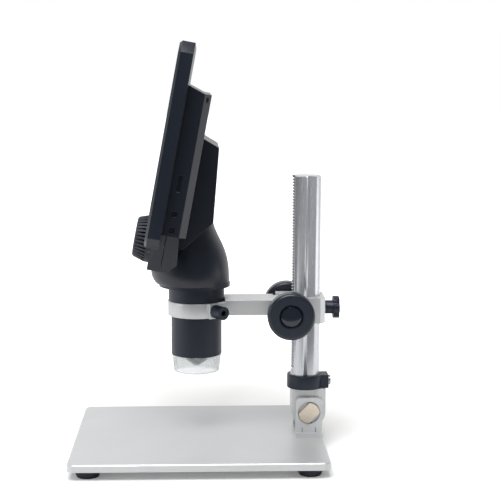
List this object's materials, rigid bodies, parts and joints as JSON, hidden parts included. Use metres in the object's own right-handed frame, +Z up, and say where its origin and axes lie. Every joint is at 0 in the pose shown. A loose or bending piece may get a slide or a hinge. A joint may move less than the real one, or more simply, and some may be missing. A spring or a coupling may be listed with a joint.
{
  "type": "lcd digital microscope",
  "caption": "Desktop microscope with a flat screen head, camera barrel and light hood, held by a ring arm that racks up and down a tilting post on a flat base.",
  "frame": {"origin": "on the floor, at the middle of the bounding box's foot", "axes": "+Z up, -X the side that the screen faces, +X towards the post, Y across the base"},
  "size_m": [0.1824, 0.178, 0.2798],
  "materials": {
    "brushed_aluminium": "brushed and clear anodised",
    "silver_paint": "fine silver powder coat",
    "black_rubber": "matt",
    "steel": "plain",
    "nickel": "satin nickel",
    "black_knob": "smooth",
    "black_anodised": "black anodised",
    "shell_plastic": "fine texture",
    "dial_rubber": "matt",
    "clear_plastic": "frosted",
    "optical_glass": "polished",
    "screen": "gloss",
    "board": "solder mask",
    "lamp": "clear",
    "brass": "plain",
    "battery_wrap": "shrink wrap"
  },
  "bodies": {
    "base": {"base_plate": "silver_paint", "hinge_bracket": "silver_paint", "bracket_screws": "steel", "pivot_pin": "nickel", "pivot_nut": "steel", "foot_front_far": "black_rubber", "foot_front_near": "black_rubber", "foot_rear_far": "black_rubber", "foot_rear_near": "black_rubber"},
    "post": {"hinge_tongue": "silver_paint", "post_column": "brushed_aluminium", "post_rack": "steel", "post_collar": "black_anodised", "collar_screw": "steel"},
    "carriage": {"carriage_block": "silver_paint", "ring_arm": "silver_paint", "shaft_bush_near": "brass", "shaft_bush_far": "brass"},
    "pinion": {"pinion_shaft": "steel", "focus_knob_near": "black_knob", "focus_knob_far": "black_knob"},
    "lock": {"lock_screw": "black_anodised"},
    "clamp": {"clamp_screw": "black_anodised"},
    "head": {"barrel_tube": "black_anodised", "barrel_sleeve": "black_anodised", "light_hood": "clear_plastic", "light_board": "board", "light_lamps": "lamp", "rear_shell": "shell_plastic", "dome_shell": "shell_plastic", "front_shell": "shell_plastic", "cover_glass": "optical_glass", "screen_module": "screen", "main_board": "board", "battery_cell_near": "battery_wrap", "battery_cell_far": "battery_wrap", "battery_cradle": "black_knob", "button_board": "board"},
    "lens_carriage": {"lens_tube": "black_anodised", "objective_lens": "optical_glass", "sensor_board": "board", "image_sensor": "screen", "lens_rack": "brass"},
    "dial": {"focus_dial": "dial_rubber", "dial_shaft": "steel"},
    "button_far_1_body": {"button_far_1": "black_knob"},
    "button_far_2_body": {"button_far_2": "black_knob"},
    "button_far_3_body": {"button_far_3": "black_knob"},
    "button_near_1_body": {"button_near_1": "black_knob"},
    "button_near_2_body": {"button_near_2": "black_knob"},
    "button_near_3_body": {"button_near_3": "black_knob"}
  },
  "joints": [
    {"name": "post_tilt", "type": "hinge", "parent": "base", "child": "post", "pos_m": [0.0702, 0, 0.0279], "axis": [0, 1, 0], "range_deg": [0, 30]},
    {"name": "carriage_slide", "type": "slide", "parent": "post", "child": "carriage", "axis": [0, 0, 1], "range_m": [-0.035, 0.08]},
    {"name": "pinion_spin", "type": "hinge", "parent": "carriage", "child": "pinion", "pos_m": [0.0563, 0, 0.0985], "axis": [0, 1, 0], "range_deg": [-790, 1802]},
    {"name": "lock_turn", "type": "hinge", "parent": "carriage", "child": "lock", "pos_m": [0.088, 0, 0.1002], "axis": [1, 0, 0], "range_deg": [0, 360]},
    {"name": "clamp_turn", "type": "hinge", "parent": "carriage", "child": "clamp", "pos_m": [-0.0075, 0, 0.1007], "axis": [0.5736, -0.8192, 0], "range_deg": [0, 360]},
    {"name": "head_swivel", "type": "hinge", "parent": "carriage", "child": "head", "pos_m": [-0.0075, 0, 0.0956], "axis": [0, 0, 1], "range_deg": [-40, 40]},
    {"name": "dial_spin", "type": "hinge", "parent": "head", "child": "dial", "pos_m": [-0.04097, 0, 0.14858], "axis": [0.9833, 0, -0.1822], "range_deg": [-88, 88]},
    {"name": "lens_slide", "type": "slide", "parent": "head", "child": "lens_carriage", "axis": [0, 0, 1], "range_m": [-0.004, 0.004]},
    {"name": "button_far_1_press", "type": "slide", "parent": "head", "child": "button_far_1_body", "axis": [0.9833, 0, -0.1822], "range_m": [0, 0.0006], "stiffness_N_per_m": 600, "springref_m": -0.0004},
    {"name": "button_far_2_press", "type": "slide", "parent": "head", "child": "button_far_2_body", "axis": [0.9833, 0, -0.1822], "range_m": [0, 0.0006], "stiffness_N_per_m": 600, "springref_m": -0.0004},
    {"name": "button_far_3_press", "type": "slide", "parent": "head", "child": "button_far_3_body", "axis": [0.9833, 0, -0.1822], "range_m": [0, 0.0006], "stiffness_N_per_m": 600, "springref_m": -0.0004},
    {"name": "button_near_1_press", "type": "slide", "parent": "head", "child": "button_near_1_body", "axis": [0.9833, 0, -0.1822], "range_m": [0, 0.0006], "stiffness_N_per_m": 600, "springref_m": -0.0004},
    {"name": "button_near_2_press", "type": "slide", "parent": "head", "child": "button_near_2_body", "axis": [0.9833, 0, -0.1822], "range_m": [0, 0.0006], "stiffness_N_per_m": 600, "springref_m": -0.0004},
    {"name": "button_near_3_press", "type": "slide", "parent": "head", "child": "button_near_3_body", "axis": [0.9833, 0, -0.1822], "range_m": [0, 0.0006], "stiffness_N_per_m": 600, "springref_m": -0.0004}
  ],
  "couplings": [
    {"joint": "pinion_spin", "follows": "carriage_slide", "rad_per_m": 392.7},
    {"joint": "lens_slide", "follows": "dial_spin", "m_per_rad": 0.0025898}
  ]
}
